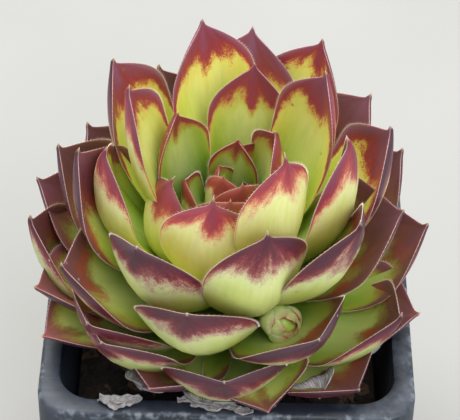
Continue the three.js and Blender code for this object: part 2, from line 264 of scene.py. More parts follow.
# %% Finish helpers
def linear(hex_colour):
    """An sRGB hex colour as linear red, green, blue and alpha."""
    parts = [int(hex_colour[i : i + 2], 16) / 255 for i in (1, 3, 5)]
    return [p / 12.92 if p <= 0.04045 else ((p + 0.055) / 1.055) ** 2.4 for p in parts] + [1.0]


def add_node(tree, kind, *values, sockets=None, out=0, stops=(), **named):
    """Adds a node and hands back one of its outputs. Values feed its inputs in order, sockets by number.

    Of the named values, those with a capital are sockets and the others settings. Stops colour a ramp.
    """
    node = tree.nodes.new("ShaderNode" + kind)
    inputs = {**dict(enumerate(values)), **(sockets or {})}
    for name, value in named.items():
        if name[0].isupper():
            inputs[name] = value
        else:
            setattr(node, name, value)
    for i, (position, colour) in enumerate(stops):
        elements = node.color_ramp.elements
        element = elements[i] if i < len(elements) else elements.new(position)
        element.position = position
        element.color = linear(colour)
    for socket, value in inputs.items():
        if isinstance(value, bpy.types.NodeSocket):
            tree.links.new(value, node.inputs[socket])
        else:
            node.inputs[socket].default_value = linear(value) if isinstance(value, str) else value
    return node.outputs[out]


def per(millimetres):
    """The scale of a pattern whose features are some millimetres apart."""
    return 1 / (millimetres * MM)


# Settings that many nodes share. A Mix node of colours is fed at sockets 6 and 7, and TIMES_PLUS multiplies
# the first two values and adds the third.
COLOURS = {"out": 2, "data_type": "RGBA"}
SOFT = {"interpolation_type": "SMOOTHSTEP"}
PLUS, MINUS, TIMES, TIMES_PLUS = (
    {"operation": name} for name in ("ADD", "SUBTRACT", "MULTIPLY", "MULTIPLY_ADD")
)


def new_material(name):
    """An empty material, the helper that adds nodes to it, and its Principled shader."""
    material = bpy.data.materials.new(name)
    material.use_nodes = True
    tree = material.node_tree
    return material, partial(add_node, tree), tree.nodes["Principled BSDF"]


def feed(shader, **values):
    """Links or sets the shader's own sockets, named in small letters with low lines for spaces."""
    for name, value in values.items():
        socket = next(s for s in shader.inputs if s.name.lower().replace(" ", "_") == name)
        if isinstance(value, bpy.types.NodeSocket):
            shader.id_data.links.new(value, socket)
        else:
            socket.default_value = value


# %% [markdown]
# ## One straight blade
#
# Every leaf is the same thing at another size, so one straight blade is modelled and then copied. It starts
# as a cylinder whose length is the leaf's length, cut into rings, with its far end merged to a point. Its
# rings are then stretched to the outline of the leaf, spoon-shaped and widest past the middle.

# %% The straight blade
BLADE_SIDES = 28
BLADE_RINGS = 33
NEEDLE_SHARE = 0.12  # of the cylinder's length, for the fine point
RING_CROWDING = 1.25  # above 1, the rings stand closer towards the point


def model_blade(name, sides, rings):
    """A closed tube one unit long and one unit in radius, with a pointed far end."""
    blade = start_piece(
        name,
        bpy.ops.mesh.primitive_cylinder_add,
        vertices=sides,
        radius=1,
        depth=1,
        end_fill_type="NGON",
        location=(0, 0, 0),
    )
    select_where(blade, "edges", lambda edge, middle: abs(middle.z) < 0.1)
    bpy.ops.mesh.subdivide(number_cuts=rings - 1)
    bpy.ops.object.mode_set(mode="OBJECT")
    select_where(blade, "vertices", lambda vertex, middle: middle.z > 0.499)
    bpy.ops.mesh.merge(type="COLLAPSE")
    bpy.ops.object.mode_set(mode="OBJECT")
    return blade


def read_blade(blade):
    """Each vertex as its share across (-1 to 1), its side, its share of the length and of the fine point."""
    points = places(blade)
    height = points[:, 2] + 0.5
    tip = height > 0.9999
    across = np.where(tip, 0, points[:, 0])
    side = np.where(tip, 0, points[:, 1])
    part = np.clip(height / (1 - NEEDLE_SHARE), 0, 1)
    needle = np.clip((height - 1 + NEEDLE_SHARE) / NEEDLE_SHARE, 0, 1)
    share = MUCRO_START * (1 - (1 - part) ** RING_CROWDING) + (1 - MUCRO_START) * needle
    return across, side, share, needle


straight_blade = model_blade("straight_blade", BLADE_SIDES, BLADE_RINGS)
print("straight blade:", len(straight_blade.data.vertices), "points")

# %% [markdown]
# ## Bending a blade along its midrib
#
# A Curve modifier could bend the blade, but the leaf also changes its hollow, keel and thickness on the
# way, and it has to follow the same line as its solid. So each ring is placed by a few lines of arithmetic:
# the upper face is a shallow fold, the lower face a rounded keel, and the two meet in a thin rounded
# margin.


# %% Leaf forms
FOOT_WIDTH = 0.45  # half the width at the foot, as a share of the widest place
UPPER_SHARE = 0.3  # of the thickness lies above the blade's middle
HOLLOW_FOOT = 0.22  # how far the margins rise at the foot, as a share of half the width
HOLLOW_GAIN = 0.28  # and how much more at the point
POINT_LIFT = 0.25  # how far the fine point turns up, in millimetres


def directions(steps):
    """Rows of steps, each made one unit long."""
    return steps / np.linalg.norm(steps, axis=1, keepdims=True)


def blade_width(u, fullness=SHOULDERS):
    """Half the width of a blade, as a share of its widest place."""
    base = FOOT_WIDTH + (1 - FOOT_WIDTH) * np.sin(np.clip(u / WIDEST, 0, 1) * math.pi / 2) ** 1.4
    shoulders = 1 - np.clip((u - WIDEST) / (MUCRO_START + 0.005 - WIDEST), 0, 1) ** fullness
    drawn_out = 0.2 * np.clip((1 - u) / 0.1, 0, 1) ** 1.5
    return np.where(u < WIDEST, base, np.maximum(shoulders, drawn_out))


def blade_thickness(u):
    """A blade's thickness as a share of its thickest place."""
    fade = np.clip((u - 0.45) / 0.55, 0, 1)
    fade = fade * fade * (3 - 2 * fade)
    return 0.8 + 0.2 * np.sin(math.pi * np.minimum(u / 0.7, 1)) - 0.62 * fade


def bend(
    shape, angle, roll, midline, half_width, thickness, cup=1.0, sway=0.0, spike=1.0, fullness=SHOULDERS
):
    """Where each point of the straight blade goes when the blade grows along a midline, in millimetres.

    The cup says how far the margins rise, the sway how far the middle swings to a side, and the spike how
    much of the fine point is left.
    """
    across, side, u, needle = shape
    place, way = midline(u - (1 - spike) * (1 - MUCRO_START) * needle)
    away = np.array([math.cos(angle), math.sin(angle), 0.0])
    aside = np.array([-math.sin(angle), math.cos(angle), 0.0])
    up = np.array([0.0, 0.0, 1.0])
    inner = -way[:, 1:] * away + way[:, :1] * up
    across_way = math.cos(roll) * aside + math.sin(roll) * inner
    face_way = math.cos(roll) * inner - math.sin(roll) * aside

    half = half_width * blade_width(u, fullness)
    deep = np.minimum(thickness * blade_thickness(u), 2 * half)
    rise = cup * half * (HOLLOW_FOOT + HOLLOW_GAIN * u)
    edge = np.minimum(min(RIM_THICKNESS, thickness) / 2, half / 2)
    s = np.abs(across)
    rim = edge * np.sqrt(np.clip(1 - s**8, 0, 1)) * s**2
    above, below = deep * UPPER_SHARE, deep * (1 - UPPER_SHARE)
    top = above + (rise - above) * s**1.35 + rim
    bottom = -below + (rise + below) * s**1.9 - rim
    height = np.where(side > 0, top, bottom)
    x = half * across + sway * half_width * np.sin(math.pi * u)
    y = height + POINT_LIFT * needle**1.5
    centre = place[:, :1] * away + place[:, 1:] * up
    return centre + x[:, None] * across_way + y[:, None] * face_way


def bow(base, knee, tip):
    """A leaf's midrib as a curve with one knee, and its direction."""
    base, knee, tip = (np.array(p, float) for p in (base, knee, tip))

    def midline(u):
        u = u[:, None]
        place = (1 - u) ** 2 * base + 2 * u * (1 - u) * knee + u * u * tip
        return place, directions((1 - u) * (knee - base) + u * (tip - knee))

    return midline


def stray(number):
    """How a leaf stands off the rule, with noughts for what isn't given."""
    return (*STRAYS.get(number, ()), 0, 0, 0, 0, 0)[:5]


def midrib(number):
    """The midrib of a living leaf: distance from the axis and height over the rim."""
    share = number / (LEAF_COUNT - 1)
    young, old = FOOT_RADIUS
    base = np.array([young + (old - young) * share, CROWN_HIGH + (CROWN_LOW - CROWN_HIGH) * share**0.8])
    _, out, lift, _, more_sag = stray(number)
    tip = np.array([
        along_list(TIP_RADIUS, number) + LOOSE_OUT * chance(number, 1) + out,
        along_list(TIP_HEIGHT, number) + LOOSE_UP * chance(number, 2) + lift,
    ])
    chord = tip - base
    outward = np.array([chord[1], -chord[0]])
    return bow(base, base + KNEE * chord + outward * (along_list(SAG, number) + more_sag), tip)


def lean(points):
    """From the rosette's own frame to the pot's: it leans to the front and a little to the right."""
    right, front = math.radians(LEAN_RIGHT), math.radians(LEAN_FRONT)
    turn = Matrix.Rotation(right, 3, "Y") @ Matrix.Rotation(front, 3, "X")
    return points @ np.array(turn).T + np.array([0, 0, POT_HEIGHT])


def leaf_angle(number):
    """How far round the stem a leaf stands."""
    turned = LOOSE_TURN * chance(number, 3) + stray(number)[0]
    return math.radians(FIRST_LEAF_ANGLE - GOLDEN_ANGLE * number + turned)


def leaf_roll(number):
    """How far a leaf is rolled about its midrib."""
    return math.radians(ROLL + LOOSE_ROLL * chance(number, 4) + stray(number)[3])


def living_blade(number, shape, reach=1.0, spike=1.0):
    """The points of a blade that grows where a living leaf does, in the pot's frame. Reach widens it."""
    return lean(
        bend(
            shape,
            leaf_angle(number),
            leaf_roll(number),
            midrib(number),
            along_list(HALF_WIDTH, number) * reach,
            LEAF_THICKNESS,
            sway=LOOSE_SWAY * chance(number, 10) / reach,
            spike=spike,
            fullness=BLUNT.get(number, SHOULDERS),
        )
    )


chords = [np.diff(midrib(number)(np.array([0.0, 1.0]))[0], axis=0) for number in range(LEAF_COUNT)]
print("longest leaf:", round(max(float(np.linalg.norm(chord)) for chord in chords), 1), "mm from foot to tip")

# %% [markdown]
# ## The living leaves
#
# Each leaf gets a copy of the straight blade, bent to its place. It also carries a few numbers for its
# finish: its age, where its red tip starts on each face, and a draw that keeps two leaves from looking
# alike. The plant grew as one piece, so all leaves and the stem are joined in one object.

# %% Grow the leaves
# Where the red tip of a leaf begins on each face, as a share of its length, by leaf number
BLUSH_TOP = [
    (0, 0.88), (8, 0.87), (12, 0.84), (14, 0.81), (18, 0.8), (19, 0.76), (21, 0.79), (22, 0.86), (23, 0.76),
    (26, 0.72), (32, 0.68), (42, 0.72), (54, 0.76), (57, 0.9), (61, 0.8),
]
BLUSH_UNDER = [
    (0, 0.8), (12, 0.86), (18, 0.86), (20, 0.91), (21, 0.89), (22, 0.84), (28, 0.84), (31, 0.84), (36, 0.85),
    (44, 0.89), (49, 0.83), (61, 0.74),
]
LOOSE_BLUSH = 0.04


def note_finish(piece, age=1, blush_top=1, blush_under=1, luck=0):
    """Writes the numbers that the finish of a leaf reads."""
    note(piece, "age", age)
    note(piece, "blush_top", blush_top)
    note(piece, "blush_under", blush_under)
    note(piece, "luck", luck)


def grow_leaf(blade, name, points, **finish):
    """A copy of the blade with its own mesh, put in place, with its notes for the finish."""
    leaf = blade.copy()
    leaf.data = blade.data.copy()
    leaf.name = name
    bpy.context.scene.collection.objects.link(leaf)
    set_place(leaf, points)
    note_finish(leaf, **finish)
    return leaf


def draw_blade_map(blade, shape):
    """A map on the blade: across it from 0 to 1, and along it from 0 at the foot to 1 at the point."""
    across, side, share, _ = shape
    layer = blade.data.uv_layers.new(name="blade")
    corners = np.zeros(len(blade.data.loops), np.int32)
    blade.data.loops.foreach_get("vertex_index", corners)
    pairs = np.stack([0.5 + 0.5 * across, share], 1)[corners]
    layer.data.foreach_set("uv", pairs.astype(np.float32).ravel())
    note(blade, "upper", np.clip(0.5 + 4 * side, 0, 1))


# Leaves whose fine point is folded in, and how much of it is left
FOLDED = {23: 0.7, 26: 0.35, 31: 0.3, 36: 0.4, 39: 0.5, 44: 0.3}

blade_shape = read_blade(straight_blade)
draw_blade_map(straight_blade, blade_shape)
leaves = []
for number in range(LEAF_COUNT):
    leaves.append(
        grow_leaf(
            straight_blade,
            f"leaf_{number}",
            living_blade(number, blade_shape, spike=FOLDED.get(number, 1.0)),
            age=number / (LEAF_COUNT - 1),
            blush_top=along_list(BLUSH_TOP, number) + LOOSE_BLUSH * chance(number, 12),
            blush_under=along_list(BLUSH_UNDER, number) + LOOSE_BLUSH * chance(number, 13),
            luck=chance(number, 14),
        )
    )

STEM_SIDES = 24
STEM_TAPER = 0.8
CROWN_TAPER = 0.45
NO_BLUSH = {"blush_top": 1.2, "blush_under": 1.2}  # a red tip that would begin beyond the end
stem_low = POT_HEIGHT - SOIL_DROP - STEM_SINK
stem_high = POT_HEIGHT + CROWN_LOW
stem = start_piece(
    "stem",
    bpy.ops.mesh.primitive_cone_add,
    vertices=STEM_SIDES,
    radius1=STEM_RADIUS * MM,
    radius2=STEM_TAPER * STEM_RADIUS * MM,
    depth=(stem_high - stem_low) * MM,
    location=(0, 0, (stem_high + stem_low) / 2 * MM),
)
select_where(stem, "polygons", lambda face, middle: middle.z > 0.01)
bpy.ops.mesh.extrude_region_move(TRANSFORM_OT_translate={"value": (0, 0, (CROWN_HIGH - CROWN_LOW) * MM)})
bpy.ops.transform.resize(value=(CROWN_TAPER, CROWN_TAPER, 1))
bpy.ops.object.mode_set(mode="OBJECT")
bpy.ops.object.transform_apply(location=True, rotation=True, scale=True)
note_finish(stem, age=0.6, **NO_BLUSH)
mother_leaves = join([*leaves, stem], "mother_leaves")
print("mother rosette:", len(mother_leaves.data.vertices), "points")

# %% [markdown]
# ## The finish of a living leaf
#
# A houseleek leaf is fleshy, with a thin waxy skin. The gloss is soft and wide, and a little light goes
# into the flesh. The colour runs along the leaf: green at the base, lime in the middle, then a soft border
# of orange and red and a maroon tip. The red also runs down the margins in a thin line and down the midrib
# in a short spike. The underside is paler and turns purple at its tip, with a bluish bloom. Young leaves
# are greener, and old ones are green at the base and brown-red beyond it, with hot red patches. Painted
# shade darkens the leaves in the deep heart and the backs of old leaves, and the middle of each blade is
# paler, partly with bloom and partly with a painted highlight. A picture of each leaf would do it too, but
# colour ramps that follow a map of the leaf stay sharp and can be changed in one place.


# %% Leaf finish
def leaf_finish(name, ramps, point="#d8c6ae", point_start=0.97):
    """Waxy succulent skin. Each ramp holds the colours along a leaf, with the border of its red tip at 0.6.

    The fine point has a colour of its own, from a share of the leaf's length on.
    """
    material, add, shader = new_material(name)
    across = add("SeparateXYZ", add("UVMap", uv_map="blade"))
    along = across.node.outputs[1]
    age, luck, upper, blush_top, blush_under = (
        add("Attribute", out="Fac", attribute_name=trait)
        for trait in ("age", "luck", "upper", "blush_top", "blush_under")
    )
    centred = add("Math", across, 2.0, -1.0, **TIMES_PLUS)
    off_midrib = add("Math", centred, operation="ABSOLUTE")
    where = add("TexCoord", out="Object")

    # Patterns drawn on the blade: soft tongues, streaks that run along it, flecks, and a fine grain
    seed = add("Math", luck, 40.0, **TIMES)
    patterns = []
    for wide, long, detail in ((5.0, 4.5, 1.0), (16.0, 6.0, 3.0), (24.0, 30.0, 4.0), (110.0, 170.0, 1.0)):
        x = add("Math", across, wide, **TIMES)
        y = add("Math", along, long, **TIMES)
        place = add("CombineXYZ", x, y, seed)
        patterns.append(add("TexNoise", Vector=place, Scale=1.0, Detail=detail))
    tongues, streaks, flecks, grain = patterns

    # How far a spot is beyond the border of the red tip, on each face, in shares of the leaf's length: the
    # red also runs down the margins and the midrib, and the patterns make the border jagged
    margin = add("Math", off_midrib, 8.0, operation="POWER")
    spike = add("MapRange", off_midrib, 0.0, 0.25, 0.05, 0.0, **SOFT)
    top = add("Math", along, blush_top, **MINUS)
    top = add("Math", margin, 0.33, top, **TIMES_PLUS)
    top = add("Math", top, spike, **PLUS)
    wide_margin = add("Math", off_midrib, 3.0, operation="POWER")
    keel = add("MapRange", off_midrib, 0.0, 0.6, 0.06, 0.0, **SOFT)
    under = add("Math", along, blush_under, **MINUS)
    under = add("Math", under, keel, **PLUS)
    under = add("Math", wide_margin, 0.17, under, **TIMES_PLUS)
    beyond = add("Mix", upper, sockets={2: under, 3: top})
    jag = add("Math", tongues, 0.22, -0.11, **TIMES_PLUS)
    for pattern, share in ((streaks, 0.05), (flecks, 0.1), (grain, 0.1)):
        jag = add("Math", pattern, share, jag, **TIMES_PLUS)
    stage = add("Math", add("Math", beyond, jag, **PLUS), 0.475, **PLUS)

    # The colours of each face change with a leaf's age
    heart, grown, old, under_young, under_grown = (
        add("ValToRGB", stage, stops=RAMPS[ramp]) for ramp in ramps
    )
    is_grown = add("MapRange", age, 0.17, 0.3)
    is_old = add("MapRange", age, 0.42, 0.5)
    is_under_grown = add("MapRange", age, 0.32, 0.38)
    face = add("Mix", is_grown, sockets={6: heart, 7: grown}, **COLOURS)
    face = add("Mix", is_old, sockets={6: face, 7: old}, **COLOURS)
    back = add("Mix", is_under_grown, sockets={6: under_young, 7: under_grown}, **COLOURS)

    # Old leaves have hot red patches near the border, fewer on the oldest
    near = add("MapRange", stage, 0.8, 0.6, **SOFT)
    near = add("Math", near, add("MapRange", stage, 0.48, 0.58), **TIMES)
    hot = add("Math", near, add("MapRange", tongues, 0.5, 0.66, 0.0, 0.8), **TIMES)
    hot = add("Math", hot, is_old, **TIMES)
    hot = add("Math", hot, add("MapRange", age, 0.7, 0.9, 1.0, 0.2), **TIMES)
    face = add("Mix", hot, sockets={6: face, 7: "#a5452b"}, **COLOURS)

    # Old backs are darkened to a duller green below the border, which is painted shade on undersides that
    # face down; the youngest are rusty beyond it, and all have a bluish bloom
    green = add("MapRange", age, 0.48, 0.58, 0.0, 0.65)
    green = add("Math", green, add("MapRange", stage, 0.6, 0.5), **TIMES)
    near_tip = add("MapRange", stage, 0.59, 0.66)
    rust = add("Math", add("MapRange", age, 0.14, 0.24, 0.55, 0.0), near_tip, **TIMES)
    bloom = add("MapRange", stage, 0.68, 0.85, 0.0, 0.35)
    bloom = add("Math", bloom, add("MapRange", tongues, 0.3, 0.7), **TIMES)
    for cover, paint in ((green, "#87984c"), (rust, "#a4502c"), (bloom, "#5f4d5c")):
        back = add("Mix", cover, sockets={6: back, 7: paint}, **COLOURS)
    colour = add("Mix", upper, sockets={6: back, 7: face}, **COLOURS)

    # The blade is paler along its middle: partly a whitish bloom, partly a painted highlight in its hollow
    pale = add("MapRange", off_midrib, 0.1, 0.85, 0.32, 0.0, **SOFT)
    for start, full in ((0.56, 0.5), (0.0, 0.3)):
        pale = add("Math", pale, add("MapRange", stage, start, full), **TIMES)

    # The oldest leaves have begun to wither at their ends, and all leaves bear a few small brown scars
    ragged = add("Math", flecks, 0.1, along, **TIMES_PLUS)
    withered = add("MapRange", ragged, 0.96, 1.04)
    withered = add("Math", withered, add("MapRange", age, 0.82, 0.86), **TIMES)
    bruise = add("TexVoronoi", Vector=where, Scale=per(9.524))
    bruise = add("Math", flecks, 0.1, bruise, **TIMES_PLUS)
    scar = add("MapRange", bruise, 0.1, 0.075, 0.0, 0.7)

    # The thin pale line on the margin and the fine point
    line = add("MapRange", off_midrib, 0.985, 1.0, 0.0, 0.8)
    line = add("Math", line, add("MapRange", along, 0.25, 0.5), **TIMES)
    needle = add("MapRange", along, point_start, 1.0, 0.0, 0.8)

    # Specks of dust and wax, about half a millimetre across, in patches
    dots = add("TexVoronoi", Vector=where, Scale=per(3.125))
    patch = add("TexNoise", Vector=where, Scale=per(22.22), Detail=2.0)
    speck = add("MapRange", dots, 0.10, 0.06)
    speck = add("Math", speck, add("MapRange", patch, 0.54, 0.6, 0.0, 0.6), **TIMES)

    for cover, paint in (
        (pale, "#e0e2a0"), (withered, "#8a4a44"), (scar, "#94603c"), (line, "#dcb09c"), (needle, point),
        (speck, "#d9cfc4"),
    ):
        colour = add("Mix", cover, sockets={6: colour, 7: paint}, **COLOURS)

    # Fine streaks in tone and in relief
    tone = add("Math", streaks, 0.22, 0.89, **TIMES_PLUS)
    tone = add("Math", patch, 0.2, add("Math", tone, 0.1, **MINUS), **TIMES_PLUS)
    tone = add("CombineXYZ", tone, tone, tone)
    colour = add("Mix", 1.0, sockets={6: colour, 7: tone}, blend_type="MULTIPLY", **COLOURS)
    relief = add("Math", streaks, 0.6, add("Math", flecks, 0.3, **TIMES), **TIMES_PLUS)
    feed(
        shader,
        base_color=colour,
        roughness=add("MapRange", streaks, 0.3, 0.7, 0.38, 0.5),
        ior=1.42,
        subsurface_weight=0.2,
        subsurface_radius=(1.0, 0.9, 0.3),
        subsurface_scale=0.002,
        normal=add("Bump", Height=relief, Strength=0.3, Distance=0.0004),
    )
    return material


RAMPS = {
    # The heart's greens are darkened with painted shade of the deep hollow among the youngest leaves
    "heart": [
        (0.0, "#3d661c"), (0.3, "#688f28"), (0.53, "#94a837"), (0.59, "#a27636"), (0.625, "#8c3e38"),
        (0.8, "#74303c"),
    ],
    "grown": [
        (0.0, "#76a02a"), (0.25, "#a8c03c"), (0.45, "#c4cc50"), (0.56, "#d6d064"), (0.585, "#cda552"),
        (0.605, "#ac563c"), (0.635, "#93343a"), (0.7, "#8a3f4c"), (0.84, "#845470"),
    ],
    "old": [
        (0.0, "#68982a"), (0.3, "#86a234"), (0.5, "#98a038"), (0.57, "#8a753c"), (0.63, "#78493e"),
        (0.75, "#714447"), (1.0, "#7d5262"),
    ],
    "under young": [
        (0.0, "#a5c23c"), (0.25, "#c4cd58"), (0.45, "#d3d878"), (0.54, "#d9d992"), (0.58, "#d4a276"),
        (0.61, "#b4584a"), (0.65, "#923840"), (0.74, "#7a3344"), (0.9, "#6a2f44"),
    ],
    "under grown": [
        (0.0, "#8fb036"), (0.25, "#b1c548"), (0.43, "#c2cf66"), (0.54, "#ced593"), (0.58, "#b89880"),
        (0.62, "#84403e"), (0.66, "#5f2630"), (0.74, "#431e27"), (0.9, "#3b1f29"),
    ],
    "chick": [
        (0.0, "#a9c052"), (0.3, "#c3d07c"), (0.56, "#d9dfa8"), (0.6, "#d09a70"), (0.66, "#a84a40"),
        (1.0, "#7d3030"),
    ],
}
living_leaf = leaf_finish("waxy succulent leaf", ("heart", "grown", "old", "under young", "under grown"))
finish_piece(mother_leaves, living_leaf, "mother_rosette", angle=60)

# %% [markdown]
# ## Hairs on the margins
#
# A fringe of very short stiff hairs stands on each margin and gives the leaves their pale outline. One hair
# is a three-sided cone. Hair curves would not be kept with the model, so each hair is a tiny mesh of its
# own.

# %% Margin hairs
HAIRS_PER_MARGIN = 52
HAIR_RANGE = (0.3, 0.94)  # shares of a leaf's length
HAIR_LENGTH = 0.5
HAIR_RADIUS = 0.045
HAIR_SINK = 0.1  # share of a hair's length that is in the skin
HAIR_SPREAD = 0.3  # share of its length by which chance makes a hair longer or shorter
HAIR_SLANT = 0.5  # towards the leaf's tip, for 1 away from the margin
WIDER = 1.12  # a wider leaf, whose margin shows which way is out
SKEW = (0.31, 0.52, 0.8)  # a direction in which no hair grows

one_hair = start_piece(
    "one_hair", bpy.ops.mesh.primitive_cone_add, vertices=3, radius1=1, depth=1, end_fill_type="NGON"
)
hair_points, hair_faces = take_shape(one_hair)
hair_points += [0, 0, 0.5]  # so that its foot is at the origin


def margin_roots(number):
    """Where the hairs of one leaf stand and which way they point, in the pot's frame."""
    share = np.linspace(*HAIR_RANGE, HAIRS_PER_MARGIN)
    level = np.zeros(HAIRS_PER_MARGIN)
    rows = []
    for sign in (-1, 1):
        shape = (level + sign, level, share, level)
        roots, beyond = (living_blade(number, shape, reach) for reach in (1.0, WIDER))
        ahead = np.gradient(roots, axis=0)
        rows.append((roots, directions(directions(beyond - roots) + HAIR_SLANT * directions(ahead))))
    return [np.concatenate(part) for part in zip(*rows)]


roots, ways = (np.concatenate(rows) for rows in zip(*(margin_roots(number) for number in range(LEAF_COUNT))))
lengths = HAIR_LENGTH * (1 + HAIR_SPREAD * np.array([chance(i, 21) for i in range(len(roots))]))
aside = directions(np.cross(ways, SKEW))
third = np.cross(ways, aside)
x, y, z = (hair_points[None, :, i, None] for i in range(3))
copies = (
    roots[:, None]
    + HAIR_RADIUS * x * aside[:, None]
    + HAIR_RADIUS * y * third[:, None]
    + lengths[:, None, None] * (z - HAIR_SINK) * ways[:, None]
)
margin_hairs = piece_of_copies("margin_hairs", copies, hair_faces)

# Hairs as thin as this catch the light and look like a pale, slightly glossy fringe
hair_material, add, shader = new_material("translucent plant hair")
where = add("TexCoord", out="Object")
spread = add("TexNoise", Vector=where, Scale=per(11.11))
feed(
    shader,
    base_color=add("ValToRGB", spread, stops=[(0.35, "#d9b6a2"), (0.65, "#efe2d4")]),
    roughness=0.4,
)
finish_piece(margin_hairs, hair_material, None)

# %% [markdown]
# ## The chick
#
# The chick is a closed young head on a short runner. Its leaves are the same blade, small and pale, folded
# over each other like a bud.

# %% Model the chick
CHICK_AGE = 0.2  # in the mother's terms
chick_turn = (
    Matrix.Translation(CHICK_PLACE)
    @ Matrix.Rotation(math.radians(CHICK_TURN), 4, "Z")
    @ Matrix.Rotation(math.radians(CHICK_LEAN), 4, "Y")
    @ Matrix.Translation((0, 0, -CHICK_LENGTH / 2))
)


def on_chick(points):
    """From the chick's own frame to the pot's."""
    turned = np.array(chick_turn)
    return points @ turned[:3, :3].T + turned[:3, 3] + np.array([0, 0, POT_HEIGHT])


# Each leaf closes over the core, and each next one is a little wider and shorter than the one before
chick_parts = []
for number in range(CHICK_LEAVES):
    knee = (CHICK_CORE + 1.1 + 0.13 * number, 3.4)
    tip = (0.5 + 0.3 * number, CHICK_LENGTH - 0.35 * number)
    angle = math.radians(GOLDEN_ANGLE * number)
    points = bend(blade_shape, angle, 0, bow((0.6, 0), knee, tip), CHICK_HALF_WIDTH, CHICK_THICKNESS)
    chick_parts.append(
        grow_leaf(
            straight_blade,
            f"chick_leaf_{number}",
            on_chick(points),
            age=CHICK_AGE,
            blush_top=1.15,
            blush_under=1.06 + 0.06 * chance(number, 31),
            luck=chance(number, 32),
        )
    )
core = start_piece("chick_core", bpy.ops.mesh.primitive_uv_sphere_add, segments=24, ring_count=14, radius=1)
core_points = places(core) * [CHICK_CORE, CHICK_CORE, 1.15 * CHICK_CORE] + [0, 0, 1.1 * CHICK_CORE]
set_place(core, on_chick(core_points))
runner_start, runner_end = Vector(CHICK_PLACE), Vector(RUNNER_END)
runner = start_piece(
    "runner", bpy.ops.mesh.primitive_cylinder_add, vertices=12, radius=RUNNER_RADIUS, depth=1
)
runner_way = runner_end - runner_start
runner_turn = np.array(runner_way.to_track_quat("Z", "Y").to_matrix())
runner_points = (places(runner) * [1, 1, runner_way.length]) @ runner_turn.T
set_place(runner, runner_points + np.array((runner_start + runner_end) / 2) + [0, 0, POT_HEIGHT])
for part in (core, runner):
    note_finish(part, age=CHICK_AGE, blush_top=1.3, blush_under=1.3)
chick_leaves = join([*chick_parts, core, runner], "chick_leaves")

chick_finish = leaf_finish(
    "waxy young leaf", ("heart", "grown", "old", "chick", "chick"), point="#a03c26", point_start=0.8
)
finish_piece(chick_leaves, chick_finish, "chick_offset", angle=60)

# %% [markdown]
# ## The dried leaves
#
# Last year's leaves wither to thin, crumpled paper that clings to the stem. Each starts as the same blade
# with hardly any thickness. Its points are then pushed about by a smooth noise, more towards the margins,
# which dry first and curl.

# %% Model the dried leaves
def smooth_line(pairs):
    """A flowing line through radius and height pairs, and its direction."""
    knots = np.array(pairs, float)

    def midline(u):
        def spot(t):
            t = np.clip(t, 0, 1) * (len(knots) - 1)
            i = np.clip(t.astype(int), 0, len(knots) - 2)
            f = (t - i)[:, None]
            p0, p1 = knots[np.maximum(i - 1, 0)], knots[i]
            p2, p3 = knots[i + 1], knots[np.minimum(i + 2, len(knots) - 1)]
            square, cube = 2 * p0 - 5 * p1 + 4 * p2 - p3, 3 * p1 - p0 - 3 * p2 + p3
            return 0.5 * (2 * p1 + (p2 - p0) * f + square * f**2 + cube * f**3)

        return spot(u), directions(spot(u + 0.01) - spot(u - 0.01))

    return midline


def crumple(across, u, number):
    """How far a dried blade's skin is pushed up, in millimetres: folds along it and curled margins."""
    folds = 0.35 * np.sin(9 * across + 5 * number + 4 * u) + 0.3 * np.sin(17 * u + 3 * number + 5 * across)
    out = np.abs(across)
    return folds * (0.4 + 0.6 * out) + 0.9 * out**3 * (0.6 + 0.5 * np.sin(7 * u + number))


dried = []
for number in range(DRY_COUNT):
    reach = DRY_REACH + 1.6 * chance(number, 5)
    path = [*DRY_PATH, (reach, 1.15 + 0.15 * chance(number, 6))]
    angle = math.radians(FIRST_DRY_ANGLE + number * 360 / DRY_COUNT + 6 * chance(number, 8))
    half = DRY_HALF_WIDTH * (1 + 0.12 * chance(number, 7))
    points = bend(blade_shape, angle, 0, smooth_line(path), half, DRY_SKIN, cup=0.05)
    across, _, share, _ = blade_shape
    points[:, 2] += POT_HEIGHT + crumple(across, share, number) * np.clip(share * 3, 0, 1)
    dried.append(grow_leaf(straight_blade, f"dried_leaf_{number}", points, luck=chance(number, 33)))

collar = start_piece(
    "collar",
    bpy.ops.mesh.primitive_cylinder_add,
    vertices=40,
    radius=COLLAR_RADIUS * MM,
    depth=(COLLAR_HIGH - COLLAR_LOW) * MM,
    location=(0, 0, (POT_HEIGHT + (COLLAR_HIGH + COLLAR_LOW) / 2) * MM),
)
select_where(collar, "polygons", lambda face, middle: abs(face.normal.z) > 0.9)
bpy.ops.mesh.inset(thickness=(COLLAR_RADIUS - STEM_RADIUS - COLLAR_GAP) * MM)
bpy.ops.mesh.bridge_edge_loops()
bpy.ops.object.mode_set(mode="OBJECT")
bpy.ops.object.transform_apply(location=True, rotation=True, scale=True)
dried_leaves = join([*dried, collar], "dried_leaves")

# Dead skin has lost its wax: it is matt and fibrous, grey with rusty patches
dry_material, add, shader = new_material("withered papery leaf")
across = add("SeparateXYZ", add("UVMap", uv_map="blade"))
luck = add("Attribute", out="Fac", attribute_name="luck")
x = add("Math", across, 40.0, **TIMES)
y = add("Math", across.node.outputs[1], 6.0, **TIMES)
fibre_place = add("CombineXYZ", x, y, add("Math", luck, 30.0, **TIMES))
fibres = add("TexNoise", Vector=fibre_place, Scale=1.0, Detail=4.0)
where = add("TexCoord", out="Object")
blotch = add("TexNoise", Vector=where, Scale=per(9.091), Detail=3.0)
grey = add("ValToRGB", fibres, stops=[(0.3, "#57504f"), (0.5, "#8f8987"), (0.7, "#bebab8")])
rust = add("ValToRGB", fibres, stops=[(0.3, "#4a211c"), (0.5, "#7d3a33"), (0.7, "#a8655a")])
rusty = add("Math", blotch, 3.0, -1.5, **TIMES_PLUS)
rusty = add("Math", luck, 0.5, rusty, **TIMES_PLUS)
